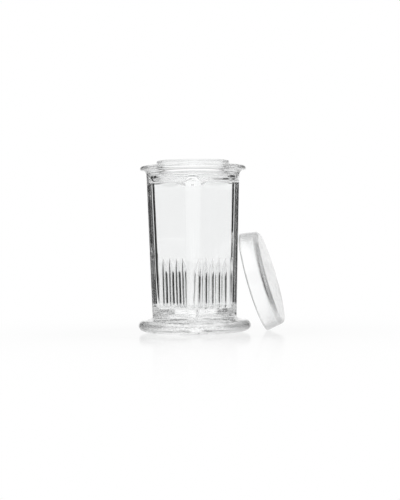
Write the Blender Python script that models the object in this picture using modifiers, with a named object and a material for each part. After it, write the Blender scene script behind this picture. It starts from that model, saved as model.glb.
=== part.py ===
"""A footed jar of clear pressed glass with slide ribs inside, and its loose cap lid leaning against it.

Metres, +Z up. The origin is the centre of the foot's underside. The jar's walls face +-X and +-Y.
"""

from math import cos, pi, radians, sin

import bmesh
import bpy
from mathutils import Matrix, Vector

# Turned foot
FOOT_RADIUS = 0.0295
FOOT_EDGE = 0.0029  # radius of the rounded edge
FOOT_EDGE_Z = 0.0037
FOOT_REST_RADIUS = 0.0232  # the flat underside, inside the lifted edge
FOOT_REST_SWEEP = 0.0018
FOOT_SWEEP = (0.0012, 0.0003)
WAIST_RADIUS = 0.0208
WAIST_Z = 0.0098

# Body: half sizes along X and Y and corner radius, at its foot and at its neck
BODY_BOTTOM = (0.0160, 0.0181, 0.0045)
BODY_TOP = (0.0178, 0.0199, 0.0050)
BODY_BOTTOM_Z = 0.0085
BODY_TOP_Z = 0.0835
BODY_ROOT = 0.0035  # how far the body's loft runs down inside the foot

# Turned neck, flange and mouth
CORE_RADIUS = 0.0150
CORE_DROP = 0.0004
LEDGE_Z = 0.0782
LEDGE_RADIUS = 0.0226
NECK_RADIUS = 0.0243
NECK_Z = 0.0806
COVE = (0.0002, 0.0004)
FLARE_RADIUS = 0.0263
FLARE_Z = 0.0852
FLANGE_RADIUS = 0.0279
BEAD = 0.0012  # radius of the flange's rounded edge
SEAT_Z = 0.0874
COLLAR_RADIUS = 0.0195
COLLAR_EDGE = 0.0006
MOUTH_Z = 0.0901
MOUTH_RADIUS = 0.0178

# Cavity
WALL = 0.0030
FLOOR_Z = 0.0125
FLOOR_EDGE = 0.0018
CAVITY_CORNER = 0.0055
SHOULDER_Z = 0.0758
BORE_Z = 0.0808
PAST_MOUTH = 0.0020

# Ribs that part the slides, on the two walls that face X
RIBS_PER_WALL = 6
RIB_PITCH = 0.0052
RIB_WIDTH = 0.0022
RIB_PROUD = 0.0021
RIB_SHOULDER_Z = 0.0290
RIB_TOP_Z = 0.0388
RIB_ROOT = 0.0012  # how far a rib runs into the wall and the floor
RIB_EDGE = 0.0005

# Lid, in its own frame: its rim at z = 0 and its top plate above
LID_RIM_RADIUS = 0.0269
LID_TOP_RADIUS = 0.0256
LID_HEIGHT = 0.0102
LID_EDGE = 0.0022
LID_MOUTH_RADIUS = 0.0236
LID_CEILING_RADIUS = 0.0231
LID_PLATE = 0.0021
LID_RIM_EDGE = 0.0009
LID_CEILING_EDGE = 0.0015

# How the lid leans: its rim stands on the table and touches the corner of the body
LID_STANDS_AT = (0.0217, 0.0349)
LID_HEADING = radians(31.8)  # the way the top plate faces, from +X
LID_LEAN = radians(15.4)  # from upright, towards the jar

TURNED_STEPS = 72
CORNER_STEPS = 8
MERGE = 0.00001


def clear_scene():
    for item in list(bpy.data.objects):
        bpy.data.objects.remove(item, do_unlink=True)


def make_collection(name):
    collection = bpy.data.collections.new(name)
    bpy.context.scene.collection.children.link(collection)
    return collection


def make_glass():
    material = bpy.data.materials.new("clear_pressed_glass")
    material.use_nodes = True
    shader = material.node_tree.nodes["Principled BSDF"]
    shader.inputs["Base Color"].default_value = (0.97, 0.98, 0.98, 1.0)
    shader.inputs["Metallic"].default_value = 0.0
    shader.inputs["Roughness"].default_value = 0.04
    shader.inputs["IOR"].default_value = 1.52
    shader.inputs["Transmission Weight"].default_value = 1.0
    return material


def add_object(name, mesh, collection):
    item = bpy.data.objects.new(name, mesh)
    collection.objects.link(item)
    return item


def make_helper(item):
    item.hide_render = True
    item.display_type = "WIRE"
    return item


def arc(centre, radius, start, end, steps):
    """Points (r, z) along an arc, from the start angle to the end angle in degrees."""
    points = []
    for i in range(steps + 1):
        angle = radians(start + (end - start) * i / steps)
        points.append((centre[0] + radius * cos(angle), centre[1] + radius * sin(angle)))
    return points


def bend(start, control, end, steps):
    """Points (r, z) strictly between start and end, along a quadratic curve."""
    points = []
    for i in range(1, steps):
        t = i / steps
        points.append(
            tuple(
                (1 - t) ** 2 * start[k] + 2 * t * (1 - t) * control[k] + t**2 * end[k]
                for k in range(2)
            )
        )
    return points


def turned(name, profile, collection):
    """A solid turned about Z from a profile (r, z) that runs down its outer side."""
    mesh = bpy.data.meshes.new(name)
    points = [(r, 0.0, z) for r, z in profile]
    edges = [(i, i + 1) for i in range(len(points) - 1)]
    mesh.from_pydata(points, edges, [])
    item = add_object(name, mesh, collection)
    screw = item.modifiers.new("turn", "SCREW")
    screw.axis = "Z"
    screw.steps = TURNED_STEPS
    screw.render_steps = TURNED_STEPS
    screw.use_merge_vertices = True
    screw.merge_threshold = MERGE
    screw.use_smooth_shade = True
    return item


def section(half_x, half_y, corner, roundness, z):
    """A ring of points: a rounded rectangle at roundness 0 and, at 1, a circle of radius half_x."""
    points = []
    for quarter in range(4):
        sign_x = (1, -1, -1, 1)[quarter]
        sign_y = (1, 1, -1, -1)[quarter]
        for i in range(CORNER_STEPS + 1):
            turn = (quarter + i / CORNER_STEPS) * pi / 2
            flat = Vector(
                (
                    sign_x * (half_x - corner) + corner * cos(turn),
                    sign_y * (half_y - corner) + corner * sin(turn),
                )
            )
            even = (quarter + (i + 0.5) / (CORNER_STEPS + 1)) * pi / 2
            round_point = Vector((half_x * cos(even), half_x * sin(even)))
            point = flat.lerp(round_point, roundness)
            points.append((point.x, point.y, z))
    return points


def loft(name, sections, collection):
    """A closed solid through rings with the same number of points, from the lowest to the highest."""
    shape = bmesh.new()
    rings = [[shape.verts.new(point) for point in ring] for ring in sections]
    count = len(rings[0])
    for low, high in zip(rings, rings[1:]):
        for i in range(count):
            j = (i + 1) % count
            shape.faces.new((low[i], low[j], high[j], high[i]))
    shape.faces.new(reversed(rings[0]))
    shape.faces.new(rings[-1])
    mesh = bpy.data.meshes.new(name)
    shape.to_mesh(mesh)
    shape.free()
    return add_object(name, mesh, collection)


def body_size(z):
    """The body's half sizes and corner radius at a height, by its straight draft."""
    share = (z - BODY_BOTTOM_Z) / (BODY_TOP_Z - BODY_BOTTOM_Z)
    return [low + (high - low) * share for low, high in zip(BODY_BOTTOM, BODY_TOP)]


def body_section(z):
    half_x, half_y, corner = body_size(z)
    return section(half_x, half_y, corner, 0.0, z)


def cavity_section(z, inset):
    half_x, half_y, _ = body_size(z)
    return section(half_x - WALL - inset, half_y - WALL - inset, CAVITY_CORNER, 0.0, z)


def foot_profile():
    edge = arc((FOOT_RADIUS - FOOT_EDGE, FOOT_EDGE_Z), FOOT_EDGE, 90, -60, 10)
    waist = (WAIST_RADIUS, WAIST_Z)
    rest = (FOOT_REST_RADIUS, 0.0)
    sweep = (WAIST_RADIUS + FOOT_SWEEP[0], FOOT_EDGE_Z + FOOT_EDGE + FOOT_SWEEP[1])
    top = bend(waist, sweep, edge[0], 5)
    under = bend(edge[-1], (FOOT_REST_RADIUS + FOOT_REST_SWEEP, 0.0), rest, 3)
    return [(0.0, WAIST_Z), waist, *top, *edge, *under, rest, (0.0, 0.0)]


def flange_profile():
    collar = arc((COLLAR_RADIUS - COLLAR_EDGE, MOUTH_Z - COLLAR_EDGE), COLLAR_EDGE, 90, 0, 3)
    bead = arc((FLANGE_RADIUS - BEAD, SEAT_Z - BEAD), BEAD, 90, -60, 6)
    flare = (FLARE_RADIUS, FLARE_Z)
    neck = (NECK_RADIUS, NECK_Z)
    ledge = (LEDGE_RADIUS, LEDGE_Z)
    core = (CORE_RADIUS, LEDGE_Z - CORE_DROP)
    cove = bend(flare, (NECK_RADIUS + COVE[0], FLARE_Z - COVE[1]), neck, 5)
    turn = bend(neck, (NECK_RADIUS, LEDGE_Z), ledge, 5)
    top = [(0.0, MOUTH_Z), *collar, (COLLAR_RADIUS, SEAT_Z), *bead]
    return [*top, flare, *cove, neck, *turn, ledge, core, (0.0, core[1])]


def make_cavity(helpers):
    """The hollow: straight walls on a rounded floor, a shoulder that turns round, and the bore of the mouth."""
    top = MOUTH_Z + PAST_MOUTH
    middle = (SHOULDER_Z + BORE_Z) / 2
    half_x, half_y, _ = body_size(SHOULDER_Z)
    blend_x = (half_x - WALL + MOUTH_RADIUS) / 2
    blend_y = (half_y - WALL + MOUTH_RADIUS) / 2
    blend_corner = (CAVITY_CORNER + MOUTH_RADIUS) / 2
    sections = [
        cavity_section(FLOOR_Z, FLOOR_EDGE),
        cavity_section(FLOOR_Z + FLOOR_EDGE / 3, FLOOR_EDGE / 3),
        cavity_section(FLOOR_Z + FLOOR_EDGE, 0.0),
        cavity_section(SHOULDER_Z, 0.0),
        section(blend_x, blend_y, blend_corner, 0.0, middle),
        section(MOUTH_RADIUS, MOUTH_RADIUS, MOUTH_RADIUS, 1.0, BORE_Z),
        section(MOUTH_RADIUS, MOUTH_RADIUS, MOUTH_RADIUS, 1.0, top),
    ]
    return make_helper(loft("cavity", sections, helpers))


def make_rib(side, place, helpers):
    """One rib, drawn as a flat outline across the wall, with its top fading back into it."""
    wall_low = body_size(FLOOR_Z)[0] - WALL
    wall_shoulder = body_size(RIB_SHOULDER_Z)[0] - WALL
    wall_top = body_size(RIB_TOP_Z)[0] - WALL
    outline = [
        (wall_low + RIB_ROOT, FLOOR_Z - RIB_ROOT),
        (wall_low - RIB_PROUD, FLOOR_Z - RIB_ROOT),
        (wall_shoulder - RIB_PROUD, RIB_SHOULDER_Z),
        (wall_top - RIB_PROUD / 3, (RIB_SHOULDER_Z + 3 * RIB_TOP_Z) / 4),
        (wall_top + RIB_ROOT, RIB_TOP_Z),
    ]
    curve = bpy.data.curves.new("rib_outline", "CURVE")
    curve.dimensions = "2D"
    curve.fill_mode = "BOTH"
    curve.extrude = RIB_WIDTH / 2
    spline = curve.splines.new("POLY")
    spline.points.add(len(outline) - 1)
    for point, (x, z) in zip(spline.points, outline):
        point.co = (x, z, 0.0, 1.0)
    spline.use_cyclic_u = True
    guide = add_object("rib_guide", curve, helpers)
    bpy.context.view_layer.update()
    graph = bpy.context.evaluated_depsgraph_get()
    mesh = bpy.data.meshes.new_from_object(guide.evaluated_get(graph))
    bpy.data.objects.remove(guide, do_unlink=True)
    shape = bmesh.new()
    shape.from_mesh(mesh)
    bmesh.ops.remove_doubles(shape, verts=shape.verts, dist=MERGE)
    stand = Matrix.Rotation(pi / 2, 4, "X")
    face = Matrix.Rotation(0.0 if side > 0 else pi, 4, "Z")
    bmesh.ops.transform(shape, matrix=Matrix.Translation((0.0, place, 0.0)) @ face @ stand, verts=shape.verts)
    bmesh.ops.recalc_face_normals(shape, faces=shape.faces)
    shape.to_mesh(mesh)
    shape.free()
    rib = make_helper(add_object("rib", mesh, helpers))
    bevel = rib.modifiers.new("round", "BEVEL")
    bevel.width = RIB_EDGE
    bevel.segments = 2
    return rib


def boolean(item, operation, other):
    """Joins to or cuts from the item another object, or every object of a collection."""
    modifier = item.modifiers.new(f"{operation.lower()}_{other.name}", "BOOLEAN")
    modifier.operation = operation
    modifier.solver = "EXACT"
    if isinstance(other, bpy.types.Collection):
        modifier.operand_type = "COLLECTION"
        modifier.collection = other
    else:
        modifier.object = other


def shade_smooth(item, angle):
    """Shades by angle on the finished shape, so the arrises of the booleans stay sharp."""
    item.data.shade_smooth()
    item.data.set_sharp_from_angle(angle=angle)


def make_jar(parts, helpers, ribs, glass):
    heights = (BODY_BOTTOM_Z - BODY_ROOT, BODY_TOP_Z)
    jar = loft("jar", [body_section(z) for z in heights], parts)
    boolean(jar, "UNION", make_helper(turned("foot", foot_profile(), helpers)))
    boolean(jar, "UNION", make_helper(turned("flange", flange_profile(), helpers)))
    boolean(jar, "DIFFERENCE", make_cavity(helpers))
    for side in (1, -1):
        for i in range(RIBS_PER_WALL):
            make_rib(side, (i - (RIBS_PER_WALL - 1) / 2) * RIB_PITCH, ribs)
    boolean(jar, "UNION", ribs)
    jar.data.materials.append(glass)
    shade_smooth(jar, radians(30.0))
    return jar


def lid_profile():
    ceiling = LID_HEIGHT - LID_PLATE
    return [
        (0.0, LID_HEIGHT),
        *arc((LID_TOP_RADIUS - LID_EDGE, LID_HEIGHT - LID_EDGE), LID_EDGE, 90, 0, 5),
        *arc((LID_RIM_RADIUS - LID_RIM_EDGE, LID_RIM_EDGE), LID_RIM_EDGE, 0, -90, 3),
        *arc((LID_MOUTH_RADIUS + LID_RIM_EDGE, LID_RIM_EDGE), LID_RIM_EDGE, -90, -180, 3),
        *arc((LID_CEILING_RADIUS - LID_CEILING_EDGE, ceiling - LID_CEILING_EDGE), LID_CEILING_EDGE, 0, 90, 4),
        (0.0, ceiling),
    ]


def lid_placement():
    """From the lid's own frame to where it leans, its lowest point on the table."""
    tip = Matrix.Rotation(pi / 2 - LID_LEAN, 4, "Y")
    face = Matrix.Rotation(LID_HEADING, 4, "Z")
    turn = face @ tip
    edge_centre = Vector((LID_RIM_RADIUS - LID_RIM_EDGE, 0.0, LID_RIM_EDGE))
    down = Vector((cos(LID_LEAN), 0.0, -sin(LID_LEAN)))
    lowest = turn @ (edge_centre + LID_RIM_EDGE * down)
    stand = Vector((*LID_STANDS_AT, 0.0))
    return Matrix.Translation(stand - lowest) @ turn


def make_lid(parts, glass):
    lid = turned("lid", lid_profile(), parts)
    lid.data.materials.append(glass)
    carrier = add_object("lid_pivot", None, parts)
    carrier.matrix_world = lid_placement()
    lid.parent = carrier
    return lid


def main():
    clear_scene()
    parts = make_collection("pressed_glass_jar")
    helpers = make_collection("helpers")
    ribs = make_collection("rib_shapes")
    glass = make_glass()
    make_jar(parts, helpers, ribs, glass)
    make_lid(parts, glass)


main()
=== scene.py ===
"""The looks of a footed jar of clear pressed glass and its loose cap lid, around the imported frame."""

from math import asin, atan2, cos, exp, hypot, pi, radians, sin, sqrt

import bmesh
import bpy
from mathutils import Matrix, Vector


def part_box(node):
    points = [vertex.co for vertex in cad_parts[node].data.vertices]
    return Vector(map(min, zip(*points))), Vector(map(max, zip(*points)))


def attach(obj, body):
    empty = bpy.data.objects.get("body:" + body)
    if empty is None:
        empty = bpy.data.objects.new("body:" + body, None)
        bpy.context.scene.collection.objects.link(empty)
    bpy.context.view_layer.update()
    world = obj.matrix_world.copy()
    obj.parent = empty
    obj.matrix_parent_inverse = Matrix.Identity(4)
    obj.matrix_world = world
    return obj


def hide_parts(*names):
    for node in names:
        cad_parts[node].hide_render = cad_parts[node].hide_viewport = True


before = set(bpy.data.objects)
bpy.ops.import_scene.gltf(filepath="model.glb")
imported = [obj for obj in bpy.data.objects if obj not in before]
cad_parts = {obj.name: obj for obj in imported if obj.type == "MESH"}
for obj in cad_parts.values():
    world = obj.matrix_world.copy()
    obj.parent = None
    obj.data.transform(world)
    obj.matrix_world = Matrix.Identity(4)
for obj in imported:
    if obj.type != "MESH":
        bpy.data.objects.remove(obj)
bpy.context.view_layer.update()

JAR_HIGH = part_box("jar")[1]

# ---- the jar's sizes, in metres ----
FOOT_RADIUS = JAR_HIGH.x
FOOT_EDGE = 0.0029
FOOT_EDGE_Z = 0.0037
FOOT_REST = 0.0232
FOOT_REST_SWEEP = 0.0018
FOOT_SWEEP = (0.0012, 0.0003)
WAIST_RADIUS = 0.0208
WAIST_Z = 0.0098
BODY_BOTTOM = (0.0160, 0.0181, 0.0045)  # half sizes along X and Y, corner radius
BODY_TOP = (0.0178, 0.0199, 0.0050)
BODY_BOTTOM_Z = 0.0085
BODY_TOP_Z = 0.0835
CORE_RADIUS = 0.0150  # the turned outline hides inside the body at this radius
CORE_LIFT = 0.0006
CORE_DROP = 0.0004
BODY_BELOW = 0.0040  # how far past its two heights the body still shapes the outside
BODY_ABOVE = 0.0030
LEDGE_Z = 0.0782
LEDGE_RADIUS = 0.0226
NECK_RADIUS = 0.0243
NECK_Z = 0.0806
COVE = (0.0002, 0.0004)
FLARE_RADIUS = 0.0263
FLARE_Z = 0.0852
FLANGE_RADIUS = 0.0279
BEAD = 0.0012
SEAT_Z = 0.0874
SEAT_RADIUS = 0.0262
COLLAR_RADIUS = 0.0194
COLLAR_EDGE = 0.0007
COLLAR_FOOT = 0.0030
MOUTH_Z = 0.0901
MOUTH_RADIUS = 0.0178
FILLET = 0.0005
SEAM_PROUD = 0.00010
SEAM_WIDTH = 0.00030
SEAM_REACH = 3  # widths away from its line at which a seam is gone
SEAM_FADE = 0.0040

WALL = 0.0030
FLOOR_Z = 0.0125
FLOOR_EDGE = 0.0018
FLOOR_EDGE_STEPS = 6
FLOOR_RINGS = (0.8, 0.5, 0.2)  # shares of the floor's outline
CAVITY_CORNER = 0.0042
WALL_END = 0.8  # how far round its corner a ribbed wall is taken, as a share of the corner's radius
SHOULDER_Z = 0.0785
THROAT_Z = 0.0810
THROAT_RADIUS = 0.0196
BORE_LOW_Z = 0.0828
BORE_Z = 0.0850

RIBS_PER_WALL = 6
RIB_PITCH = 0.0052
RIB_HALF_WIDTH = 0.0008
RIB_PROUD = 0.0023
RIB_NOSE_EDGE = 0.0003
RIB_ROOT = 0.00025
RIB_FILLET_SHARE = 0.4  # the most of a rib's height that its root or its edge takes
LEAST_RIB = 0.05
RIB_ARCH = 2.2
END_RIB_RISE = 0.45  # the ribs nearest the corners melt into them
FLAT_MARGIN = 0.00008  # an extra edge on a flat this far from its curve keeps the shading flat
RIB_SHOULDER_Z = 0.0290
RIB_TOP_Z = 0.0388
RIB_TIP = 0.0004

# ---- the lid, in its own frame: rim at z = 0, top plate above ----
LID_RIM_RADIUS = 0.02688
LID_TOP_RADIUS = 0.02557
LID_HEIGHT = 0.01018
LID_EDGE = 0.0022
LID_MOUTH_RADIUS = 0.0236
LID_CEILING_RADIUS = 0.0231
LID_PLATE = 0.0021
LID_RIM_EDGE = 0.0009
LID_CEILING_EDGE = 0.0015
LID_STANDS_AT = (0.0217, 0.0349)
LID_LEAN = radians(15.4)
LID_HEADING = radians(31.8)

# ---- mesh density ----
WALL_POINTS = 80  # along each ribbed wall, outside
SIDE_POINTS = 40  # along each plain wall
CORNER_POINTS = 24
RIB_EDGE_STEPS = 6
GAP_POINTS = 4  # between two ribs
LID_POINTS = 256
TINY = 1e-9  # keeps a division away from zero

# ---- the photograph's view ----
VIEW_AZIMUTH = radians(41.0)
CAMERA_DISTANCE = 0.757
CAMERA_HEIGHT = 0.0432
CAMERA_ASIDE = 0.0032
CAMERA_ROLL = radians(0.7)
LENS = 103.54
SENSOR = 36.0
CLIP = (0.01, 20.0)
VIEW_RIGHT = Vector((cos(VIEW_AZIMUTH), sin(VIEW_AZIMUTH), 0.0))
VIEW_BACK = Vector((sin(VIEW_AZIMUTH), -cos(VIEW_AZIMUTH), 0.0))
UP = Vector((0.0, 0.0, 1.0))

# ---- the light: each wall's brightness, and the cosines off its axis at which it begins and is full ----
BACK_GLOW = 1.10
BACK_EDGE = (0.86, 0.94)
FRONT_GLOW = 0.35
FRONT_EDGE = (0.75, 0.92)
TOP_GLOW = 0.80
TOP_EDGE = (0.26, 0.55)
SIDE_GLOW = 0.02
SEEN_GLOW = 1.0  # what the camera sees of the walls directly

# ---- the table: painted light, glowing in a wedge that starts at the camera as if lit there, and mirroring less away from the jar ----
TABLE_SIZE = 6.0
TABLE_Z = -0.00002
TABLE_GLOW = 1.0
TABLE_EDGE = (0.200, 0.340)  # where the wedge begins to fade and ends, in half width per length
TABLE_LEAST = 0.25  # the shortest length that the wedge's width is worked out from
MIRROR_ROUGHNESS = 0.07
MIRROR_FADE = 0.055  # the distance over which the mirroring falls to 1/e
MIRROR_SHARE = 0.80  # the mirroring share at the centre, before the cap below
MIRROR_MOST = 0.30

# ---- the glass ----
GLASS_COLOUR = (0.985, 0.99, 0.99, 1.0)
GLASS_IOR = 1.52
WAVE_SCALE = 90.0
WAVE_DEPTH = 0.00006
CHILL_SCALE = 340.0
CHILL_FLOW = (0.6, 0.6, 5.0)  # the marks of the cold mould run level
CHILL_DEPTH = 0.00022
CHILL_FADE = 0.0040
JAR_CHILL_TOP = 0.0115  # only the base has these marks
LID_CHILL_TOP = -0.0100  # under the table, so the lid has no marks
SMEAR_SCALE = 220.0
SMEAR_RANGE = (0.45, 0.75)
JAR_ROUGHNESS = (0.0, 0.05)  # between the smears and on them
LID_ROUGHNESS = (0.17, 0.26)


# ---------------------------------------------------------------- outlines

def arc(centre, radius, start, end, steps):
    """Points (r, z) along an arc, from the start angle to the end angle in degrees."""
    angles = [radians(start + (end - start) * i / steps) for i in range(steps + 1)]
    return [(centre[0] + radius * cos(a), centre[1] + radius * sin(a)) for a in angles]


def bend(start, control, end, steps):
    """Points (r, z) strictly between start and end, along a quadratic curve."""
    points = []
    for i in range(1, steps):
        t = i / steps
        weights = ((1 - t) ** 2, 2 * t * (1 - t), t * t)
        points.append(tuple(sum(w * p[k] for w, p in zip(weights, (start, control, end))) for k in (0, 1)))
    return points


def straight(start, end, steps):
    """Points (r, z) strictly between start and end, along a line."""
    return bend(start, ((start[0] + end[0]) / 2, (start[1] + end[1]) / 2), end, steps)


def smooth_step(value, low, high):
    t = min(max((value - low) / (high - low), 0.0), 1.0)
    return t * t * (3 - 2 * t)


def body_size(z):
    """The body's half sizes and corner radius at a height, by its straight draft."""
    share = (z - BODY_BOTTOM_Z) / (BODY_TOP_Z - BODY_BOTTOM_Z)
    return [low + (high - low) * share for low, high in zip(BODY_BOTTOM, BODY_TOP)]


def reach(half_x, half_y, corner, angle):
    """How far a rounded rectangle reaches from its centre at an angle."""
    c, s = abs(cos(angle)), abs(sin(angle))
    centre_x, centre_y = half_x - corner, half_y - corner
    flat = min(half_x / max(c, TINY), half_y / max(s, TINY))
    if flat * c < centre_x or flat * s < centre_y:
        return flat
    along = centre_x * c + centre_y * s
    return along + sqrt(max(along**2 - centre_x**2 - centre_y**2 + corner**2, 0.0))


def smooth_max(a, b, width):
    """The larger of two, with a fillet of about this width where they cross."""
    near = max(width - abs(a - b), 0.0) / width
    return max(a, b) + near * near * width / 4


def halfway(count):
    """The middles of this many equal steps from 0 to 1."""
    return [(i + 0.5) / count for i in range(count)]


def ring_angles():
    """The angles of every ring's points: dense along the ribbed walls and round the corners."""
    flat_x = reach_end(BODY_TOP)
    flat_y = reach_end((BODY_TOP[1], BODY_TOP[0], BODY_TOP[2]))
    angles = []
    for half_turn in (0.0, pi):
        low, high = -flat_x, flat_x
        tangents = [2 * share - 1 for share in halfway(WALL_POINTS)]
        limit = sin(high) / cos(high)
        angles += [half_turn + atan2(t * limit, 1.0) for t in tangents]
        corner_end = pi / 2 - flat_y
        angles += [half_turn + high + (corner_end - high) * share for share in halfway(CORNER_POINTS)]
        angles += [half_turn + corner_end + 2 * flat_y * share for share in halfway(SIDE_POINTS)]
        next_wall = pi + low
        start = pi / 2 + flat_y
        angles += [half_turn + start + (next_wall - start) * share for share in halfway(CORNER_POINTS)]
    return angles


def reach_end(size):
    """The angle at which a wall of a rounded rectangle ends and its corner begins."""
    half, across, corner = size
    return atan2(across - corner, half)


ANGLES = ring_angles()


def outer_ring(radius, z):
    """The outside at a point of the turned outline: the larger of the turned shape and the body."""
    in_body = BODY_BOTTOM_Z - BODY_BELOW < z < BODY_TOP_Z + BODY_ABOVE
    half_x, half_y, corner = body_size(z)
    seam_angle = atan2(half_y - corner, half_x - corner)
    fade = smooth_step(z, WAIST_Z, WAIST_Z + SEAM_FADE) * (1 - smooth_step(z, LEDGE_Z, NECK_Z))
    points = []
    for angle in ANGLES:
        out = radius
        if in_body:
            body = reach(half_x, half_y, corner, angle)
            for seam in (-seam_angle, pi - seam_angle):
                off = (angle - seam + pi) % (2 * pi) - pi
                across = off * body / SEAM_WIDTH
                if abs(across) < SEAM_REACH:
                    body += fade * SEAM_PROUD * exp(-across * across)
            out = smooth_max(body, radius, FILLET)
        points.append((out * cos(angle), out * sin(angle), z))
    return points


def rib_share(z):
    """How much of its full width and rise a rib has at a height, down to none at its pointed top."""
    climb = min(max((z - RIB_SHOULDER_Z) / (RIB_TOP_Z - RIB_SHOULDER_Z), 0.0), 1.0)
    return 1 - climb**RIB_ARCH


def wall_depth(y, half_x, half_y, corner):
    """How far out a wall of a rounded rectangle is at a place along it, corners included."""
    past = max(abs(y) - (half_y - corner), 0.0)
    return half_x - corner + sqrt(max(corner**2 - past**2, 0.0))


def rib_profile(size, proud):
    """Half of a rib's section as (across, up), from the wall to its nose: root, flank, edge, nose."""
    width = RIB_HALF_WIDTH * size
    root_across, edge_across = RIB_ROOT * size, RIB_NOSE_EDGE * size
    root_up = min(RIB_ROOT, RIB_FILLET_SHARE * proud)
    edge_up = min(RIB_NOSE_EDGE, RIB_FILLET_SHARE * proud)
    quarter = [pi / 2 * i / RIB_EDGE_STEPS for i in range(RIB_EDGE_STEPS + 1)]
    section = [(width + root_across + FLAT_MARGIN, 0.0)]
    section += [(width + root_across * (1 - sin(t)), root_up * (1 - cos(t))) for t in quarter]
    section += [(width - edge_across * (1 - cos(t)), proud - edge_up * (1 - sin(t))) for t in quarter]
    return section


def ribbed_wall(half_x, half_y, corner, z):
    """Points (x, y) along the +X wall from low y to high y, over its ribs."""
    share = rib_share(z)
    size = max(share, LEAST_RIB) if z < RIB_TOP_Z else 1.0
    nose = half_x - RIB_PROUD
    reach_y = half_y - corner + corner * WALL_END
    spots = [(i - (RIBS_PER_WALL - 1) / 2) * RIB_PITCH for i in range(RIBS_PER_WALL)]
    points = []
    last = -reach_y
    for spot in spots:
        rise = END_RIB_RISE if abs(spot) > RIB_PITCH * (RIBS_PER_WALL / 2 - 1) else 1.0
        proud = (wall_depth(spot, half_x, half_y, corner) - nose) * share * rise
        half = rib_profile(size, proud)
        start = spot - half[0][0]
        first = 1 if spot > spots[0] else 0
        section = [(last + (start - last) * i / GAP_POINTS, 0.0) for i in range(first, GAP_POINTS)]
        section += [(spot - across, up) for across, up in half]
        section += [(spot + across, up) for across, up in reversed(half)]
        points += [(wall_depth(y, half_x, half_y, corner) - up, y) for y, up in section]
        last = spot + half[0][0]
    for i in range(1, GAP_POINTS + 1):
        y = last + (reach_y - last) * i / GAP_POINTS
        points.append((wall_depth(y, half_x, half_y, corner), y))
    return points


def plain_wall(half_x, half_y, corner):
    """Points (x, y) from the +X wall's end round to the -X wall's start, by the +Y side."""
    start = asin(WALL_END)
    turns = [start + (pi / 2 - start) * (i + 1) / CORNER_POINTS for i in range(CORNER_POINTS)]
    bend_points = [(half_x - corner + corner * cos(t), half_y - corner + corner * sin(t)) for t in turns]
    end = half_x - corner
    flat = [(end - 2 * end * (i + 1) / SIDE_POINTS, half_y) for i in range(SIDE_POINTS - 1)]
    return bend_points + flat + [(-x, y) for x, y in reversed(bend_points)]


def inner_ring(z, inset=0.0):
    """The hollow at a height, shrunk by an inset, with its ribs, turning round above the shoulder."""
    half_x, half_y, _ = body_size(min(z, SHOULDER_Z))
    size = (half_x - WALL, half_y - WALL, CAVITY_CORNER)
    half = ribbed_wall(*size, z) + plain_wall(*size)
    roundness = smooth_step(z, SHOULDER_Z, THROAT_Z)
    neck = THROAT_RADIUS + (MOUTH_RADIUS - THROAT_RADIUS) * smooth_step(z, BORE_LOW_Z, BORE_Z)
    points = []
    for x, y in half + [(-x, -y) for x, y in half]:
        far = hypot(x, y)
        out = far + (neck - far) * roundness
        keep = (out - inset) / far
        points.append((x * keep, y * keep, z))
    return points


def turned_ring(radius, z):
    """A round ring of the hollow with as many points as its ribbed rings."""
    return [(x * radius / hypot(x, y), y * radius / hypot(x, y), z) for x, y, _ in inner_ring(z)]


# ---------------------------------------------------------------- meshes

def skin(name, sheets, first_centre, last_centre):
    """One closed surface through sheets of rings, each bridged to the next, closed by centre points."""
    shape = bmesh.new()
    edge_loops = []
    for rings in sheets:
        rows = [[shape.verts.new(p) for p in ring] for ring in rings]
        count = len(rows[0])
        for low, high in zip(rows, rows[1:]):
            for i in range(count):
                j = (i + 1) % count
                shape.faces.new((low[i], low[j], high[j], high[i]))
        edge_loops.append((rows[0], rows[-1]))
    first, last = shape.verts.new(first_centre), shape.verts.new(last_centre)
    start, end = edge_loops[0][0], edge_loops[-1][1]
    for i in range(len(start)):
        shape.faces.new((first, start[(i + 1) % len(start)], start[i]))
    for i in range(len(end)):
        shape.faces.new((last, end[i], end[(i + 1) % len(end)]))
    for (_, low), (high, _) in zip(edge_loops, edge_loops[1:]):
        pairs = [pair for row in (low, high) for pair in zip(row, row[1:] + row[:1])]
        bmesh.ops.bridge_loops(shape, edges=[shape.edges.get(pair) for pair in pairs])
    bmesh.ops.recalc_face_normals(shape, faces=shape.faces)
    mesh = bpy.data.meshes.new(name)
    shape.to_mesh(mesh)
    shape.free()
    mesh.shade_smooth()
    item = bpy.data.objects.new(name, mesh)
    bpy.context.scene.collection.objects.link(item)
    return item


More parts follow.
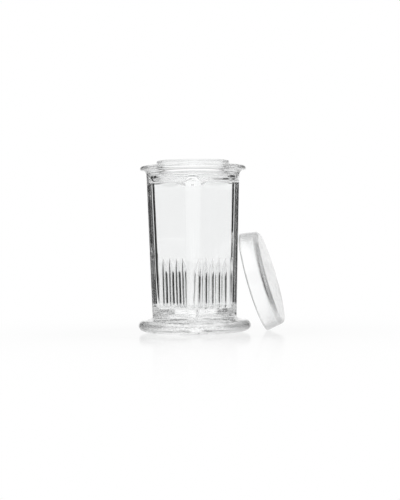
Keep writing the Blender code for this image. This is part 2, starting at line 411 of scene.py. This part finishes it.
def jar_outline():
    """The turned outline (r, z) of the outside, from the underside to the top of the collar."""
    edge = (FOOT_RADIUS - FOOT_EDGE, FOOT_EDGE_Z)
    foot_low = arc(edge, FOOT_EDGE, -60, 90, steps=24)
    foot_top = (edge[0], edge[1] + FOOT_EDGE)
    waist = (WAIST_RADIUS, WAIST_Z)
    core_low = (CORE_RADIUS, WAIST_Z + CORE_LIFT)
    core_high = (CORE_RADIUS, LEDGE_Z - CORE_DROP)
    ledge = (LEDGE_RADIUS, LEDGE_Z)
    neck = (NECK_RADIUS, NECK_Z)
    bead = arc((FLANGE_RADIUS - BEAD, SEAT_Z - BEAD), BEAD, -60, 90, steps=14)
    collar = arc((COLLAR_RADIUS - COLLAR_EDGE, MOUTH_Z - COLLAR_EDGE), COLLAR_EDGE, 0, 90, steps=8)
    collar_low = (COLLAR_RADIUS, MOUTH_Z - 2 * COLLAR_EDGE)
    return [
        *straight((0.0, 0.0), (FOOT_REST, 0.0), steps=6),
        (FOOT_REST, 0.0),
        *bend((FOOT_REST, 0.0), (FOOT_REST + FOOT_REST_SWEEP, 0.0), foot_low[0], steps=8),
        *foot_low,
        *bend(foot_top, (WAIST_RADIUS + FOOT_SWEEP[0], foot_top[1] + FOOT_SWEEP[1]), waist, steps=12),
        waist,
        *straight(waist, core_low, steps=10),
        core_low,
        *straight(core_low, core_high, steps=30),
        core_high,
        *straight(core_high, ledge, steps=24),
        ledge,
        *bend(ledge, (NECK_RADIUS, LEDGE_Z), neck, steps=20),
        neck,
        *bend(neck, (NECK_RADIUS + COVE[0], FLARE_Z - COVE[1]), (FLARE_RADIUS, FLARE_Z), steps=16),
        (FLARE_RADIUS, FLARE_Z),
        *bead,
        (SEAT_RADIUS, SEAT_Z),
        *bend((SEAT_RADIUS, SEAT_Z), (COLLAR_RADIUS + COLLAR_FOOT, SEAT_Z), collar_low, steps=14),
        collar_low,
        *collar,
    ]


def hollow_rings():
    """Rings of the hollow from the mouth's inner edge down to the floor."""
    mouth_edge = arc((MOUTH_RADIUS + COLLAR_EDGE, MOUTH_Z - COLLAR_EDGE), COLLAR_EDGE, 90, 180, steps=8)
    rings = [turned_ring(r, z) for r, z in mouth_edge]
    heights = []
    steps = (
        (MOUTH_Z - COLLAR_EDGE, BORE_Z, 6),
        (BORE_Z, BORE_LOW_Z, 12),
        (BORE_LOW_Z, THROAT_Z, 4),
        (THROAT_Z, SHOULDER_Z, 16),
        (SHOULDER_Z, RIB_TOP_Z + RIB_TIP, 12),
        (RIB_TOP_Z + RIB_TIP, RIB_TOP_Z, 1),
        (RIB_TOP_Z, RIB_SHOULDER_Z, 32),
        (RIB_SHOULDER_Z, FLOOR_Z + FLOOR_EDGE, 10),
    )
    for high, low, count in steps:
        heights += [high + (low - high) * (i + 1) / count for i in range(count)]
    rings += [inner_ring(z) for z in heights]
    for i in range(1, FLOOR_EDGE_STEPS + 1):
        turn = i / FLOOR_EDGE_STEPS * pi / 2
        rings.append(inner_ring(FLOOR_Z + FLOOR_EDGE * (1 - sin(turn)), FLOOR_EDGE * (1 - cos(turn))))
    edge = rings[-1]
    for share in FLOOR_RINGS:
        rings.append([(x * share, y * share, z) for x, y, z in edge])
    return rings


def make_jar(glass):
    outside = [outer_ring(r, z) for r, z in jar_outline()]
    jar = skin("jar_glass", (outside, hollow_rings()), (0.0, 0.0, 0.0), (0.0, 0.0, FLOOR_Z))
    jar.data.materials.append(glass)
    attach(jar, "jar")
    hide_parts("jar")


def lid_outline():
    ceiling = LID_HEIGHT - LID_PLATE
    top_edge = (LID_TOP_RADIUS - LID_EDGE, LID_HEIGHT - LID_EDGE)
    rim_outer = (LID_RIM_RADIUS - LID_RIM_EDGE, LID_RIM_EDGE)
    rim_inner = (LID_MOUTH_RADIUS + LID_RIM_EDGE, LID_RIM_EDGE)
    corner = (LID_CEILING_RADIUS - LID_CEILING_EDGE, ceiling - LID_CEILING_EDGE)
    return [
        *straight((0.0, LID_HEIGHT), (top_edge[0], LID_HEIGHT), steps=6),
        *arc(top_edge, LID_EDGE, 90, 0, steps=14),
        *straight((LID_TOP_RADIUS, top_edge[1]), (LID_RIM_RADIUS, rim_outer[1]), steps=5),
        *arc(rim_outer, LID_RIM_EDGE, 0, -90, steps=10),
        *arc(rim_inner, LID_RIM_EDGE, -90, -180, steps=10),
        *straight((LID_MOUTH_RADIUS, rim_inner[1]), (LID_CEILING_RADIUS, corner[1]), steps=5),
        *arc(corner, LID_CEILING_EDGE, 0, 90, steps=10),
        *straight((corner[0], ceiling), (0.0, ceiling), steps=6),
    ]


def lid_placement():
    """From the lid's own frame to where it leans, its lowest point on the table."""
    turn = Matrix.Rotation(LID_HEADING, 4, "Z") @ Matrix.Rotation(pi / 2 - LID_LEAN, 4, "Y")
    edge_centre = Vector((LID_RIM_RADIUS - LID_RIM_EDGE, 0.0, LID_RIM_EDGE))
    down = Vector((cos(LID_LEAN), 0.0, -sin(LID_LEAN)))
    lowest = turn @ (edge_centre + LID_RIM_EDGE * down)
    return Matrix.Translation(Vector((*LID_STANDS_AT, 0.0)) - lowest) @ turn


def make_lid(glass):
    turns = [-2 * pi * i / LID_POINTS for i in range(LID_POINTS)]
    rings = [[(r * cos(a), r * sin(a), z) for a in turns] for r, z in lid_outline()]
    lid = skin("lid_glass", (rings,), (0.0, 0.0, LID_HEIGHT), (0.0, 0.0, LID_HEIGHT - LID_PLATE))
    lid.data.transform(lid_placement())
    lid.data.materials.append(glass)
    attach(lid, "lid")
    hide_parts("lid")


# ---------------------------------------------------------------- materials

def set_range(node, low, high, to_low, to_high):
    """Fills in a Map Range node: low and high become to_low and to_high."""
    values = (("From Min", low), ("From Max", high), ("To Min", to_low), ("To Max", to_high))
    for key, value in values:
        node.inputs[key].default_value = value


def make_glass(name, chill_top, roughness):
    """Clear glass with the faint waviness of a pressing, and the marks of a cold mould up to a height."""
    material = bpy.data.materials.new(name)
    material.use_nodes = True
    nodes, links = material.node_tree.nodes, material.node_tree.links
    shader = nodes["Principled BSDF"]
    shader.inputs["Base Color"].default_value = GLASS_COLOUR
    shader.inputs["IOR"].default_value = GLASS_IOR
    shader.inputs["Transmission Weight"].default_value = 1.0
    place = nodes.new("ShaderNodeTexCoord").outputs["Object"]

    def noise(source, scale, detail):
        node = nodes.new("ShaderNodeTexNoise")
        node.inputs["Scale"].default_value = scale
        node.inputs["Detail"].default_value = detail
        links.new(source, node.inputs["Vector"])
        return node.outputs["Fac"]

    wave = nodes.new("ShaderNodeBump")
    wave.inputs["Distance"].default_value = WAVE_DEPTH
    links.new(noise(place, WAVE_SCALE, detail=1.0), wave.inputs["Height"])

    flow = nodes.new("ShaderNodeMapping")
    flow.inputs["Scale"].default_value = CHILL_FLOW
    links.new(place, flow.inputs["Vector"])
    split = nodes.new("ShaderNodeSeparateXYZ")
    links.new(place, split.inputs[0])
    low = nodes.new("ShaderNodeMapRange")
    set_range(low, chill_top + CHILL_FADE, chill_top, 0.0, 1.0)
    links.new(split.outputs["Z"], low.inputs["Value"])
    chill = nodes.new("ShaderNodeBump")
    chill.inputs["Distance"].default_value = CHILL_DEPTH
    links.new(low.outputs["Result"], chill.inputs["Strength"])
    links.new(noise(flow.outputs["Vector"], CHILL_SCALE, detail=2.0), chill.inputs["Height"])
    links.new(wave.outputs["Normal"], chill.inputs["Normal"])
    links.new(chill.outputs["Normal"], shader.inputs["Normal"])

    rough = nodes.new("ShaderNodeMapRange")
    set_range(rough, *SMEAR_RANGE, *roughness)
    links.new(noise(place, SMEAR_SCALE, detail=3.0), rough.inputs["Value"])
    links.new(rough.outputs["Result"], shader.inputs["Roughness"])
    return material


# ---------------------------------------------------------------- surroundings

def dot_along(tree, source, axis):
    """How far a point or direction lies along an axis."""
    node = tree.nodes.new("ShaderNodeVectorMath")
    node.operation = "DOT_PRODUCT"
    node.inputs[1].default_value = axis
    tree.links.new(source, node.inputs[0])
    return node.outputs["Value"]


def smooth_range(tree, source, edge, low, high):
    """A smooth step from low to high as the source goes from the one edge to the other."""
    node = tree.nodes.new("ShaderNodeMapRange")
    node.interpolation_type = "SMOOTHSTEP"
    set_range(node, *edge, low, high)
    tree.links.new(source, node.inputs["Value"])
    return node.outputs["Result"]


def math(tree, operation, first, second=None):
    """The result of a Math node on one or two values, the second of which may be a number."""
    node = tree.nodes.new("ShaderNodeMath")
    node.operation = operation
    tree.links.new(first, node.inputs[0])
    if isinstance(second, float):
        node.inputs[1].default_value = second
    elif second is not None:
        tree.links.new(second, node.inputs[1])
    return node.outputs[0]


def table_glow(tree, place):
    """How brightly the table glows, as painted light: all over where the camera sees it directly, otherwise
    within the painted wedge of light.
    """
    aside = math(tree, "ABSOLUTE", dot_along(tree, place, VIEW_RIGHT))
    ahead = math(tree, "ADD", dot_along(tree, place, -VIEW_BACK), CAMERA_DISTANCE)
    off_axis = math(tree, "DIVIDE", aside, math(tree, "MAXIMUM", ahead, TABLE_LEAST))
    lit = smooth_range(tree, off_axis, TABLE_EDGE, TABLE_GLOW, SIDE_GLOW)
    path = tree.nodes.new("ShaderNodeLightPath")
    return math(tree, "MAXIMUM", lit, path.outputs["Is Camera Ray"])


def mirror_share(tree, place):
    """How much of the table's look is its mirroring, less and less away from the jar."""
    far = tree.nodes.new("ShaderNodeVectorMath")
    far.operation = "LENGTH"
    tree.links.new(place, far.inputs[0])
    fading = math(tree, "EXPONENT", math(tree, "MULTIPLY", far.outputs["Value"], -1 / MIRROR_FADE))
    return math(tree, "MINIMUM", math(tree, "MULTIPLY", fading, MIRROR_SHARE), MIRROR_MOST)


def make_table_look():
    # the table gets painted light: an emission glow in a wedge, mixed with a real mirroring
    material = bpy.data.materials.new("table_painted_light")
    material.use_nodes = True
    tree = material.node_tree
    tree.nodes.remove(tree.nodes["Principled BSDF"])
    place = tree.nodes.new("ShaderNodeTexCoord").outputs["Object"]
    # the table's emission is painted light: a glow in a wedge stands in for light falling on the table
    white = tree.nodes.new("ShaderNodeEmission")
    tree.links.new(table_glow(tree, place), white.inputs["Strength"])
    mirror = tree.nodes.new("ShaderNodeBsdfGlossy")
    mirror.inputs["Roughness"].default_value = MIRROR_ROUGHNESS
    mix = tree.nodes.new("ShaderNodeMixShader")
    tree.links.new(mirror_share(tree, place), mix.inputs["Fac"])
    tree.links.new(white.outputs[0], mix.inputs[1])
    tree.links.new(mirror.outputs[0], mix.inputs[2])
    tree.links.new(mix.outputs[0], tree.nodes["Material Output"].inputs["Surface"])
    return material


def make_floor():
    bpy.ops.mesh.primitive_plane_add(size=TABLE_SIZE, location=(0.0, 0.0, TABLE_Z))
    floor = bpy.context.object
    floor.name = "table_top"
    floor.data.materials.append(make_table_look())


def make_world():
    """A studio bright behind and above the object, dim in front and dark beside it; seen directly, white."""
    world = bpy.data.worlds.new("studio")
    bpy.context.scene.world = world
    world.use_nodes = True
    tree = world.node_tree
    place = tree.nodes.new("ShaderNodeTexCoord").outputs["Generated"]
    back = smooth_range(tree, dot_along(tree, place, -VIEW_BACK), BACK_EDGE, SIDE_GLOW, BACK_GLOW)
    front = smooth_range(tree, dot_along(tree, place, VIEW_BACK), FRONT_EDGE, SIDE_GLOW, FRONT_GLOW)
    ceiling = smooth_range(tree, dot_along(tree, place, UP), TOP_EDGE, 0.0, TOP_GLOW)
    brightest = math(tree, "MAXIMUM", math(tree, "MAXIMUM", back, front), ceiling)
    path = tree.nodes.new("ShaderNodeLightPath")
    seen = tree.nodes.new("ShaderNodeMix")  # of numbers: inputs 0, 2 and 3 are its factor, A and B
    tree.links.new(path.outputs["Is Camera Ray"], seen.inputs[0])
    tree.links.new(brightest, seen.inputs[2])
    seen.inputs[3].default_value = SEEN_GLOW
    background = tree.nodes["Background"]
    background.inputs["Color"].default_value = (1.0, 1.0, 1.0, 1.0)
    tree.links.new(seen.outputs[0], background.inputs["Strength"])


def make_camera():
    data = bpy.data.cameras.new("camera")
    data.lens = LENS
    data.sensor_width = SENSOR
    data.clip_start, data.clip_end = CLIP
    camera = bpy.data.objects.new("camera", data)
    bpy.context.scene.collection.objects.link(camera)
    right = VIEW_RIGHT * cos(CAMERA_ROLL) - UP * sin(CAMERA_ROLL)
    rolled_up = UP * cos(CAMERA_ROLL) + VIEW_RIGHT * sin(CAMERA_ROLL)
    turn = Matrix((right, rolled_up, VIEW_BACK)).transposed()
    place = VIEW_BACK * CAMERA_DISTANCE + VIEW_RIGHT * CAMERA_ASIDE + UP * CAMERA_HEIGHT
    camera.matrix_world = Matrix.Translation(place) @ turn.to_4x4()
    bpy.context.scene.camera = camera


def main():
    scene = bpy.context.scene
    scene.view_settings.view_transform = "Standard"
    scene.cycles.max_bounces = 32
    scene.cycles.transmission_bounces = 32
    scene.cycles.glossy_bounces = 16
    make_camera()
    make_world()
    make_floor()
    make_jar(make_glass("clear_pressed_glass", JAR_CHILL_TOP, JAR_ROUGHNESS))
    make_lid(make_glass("clear_lid_glass", LID_CHILL_TOP, LID_ROUGHNESS))


main()
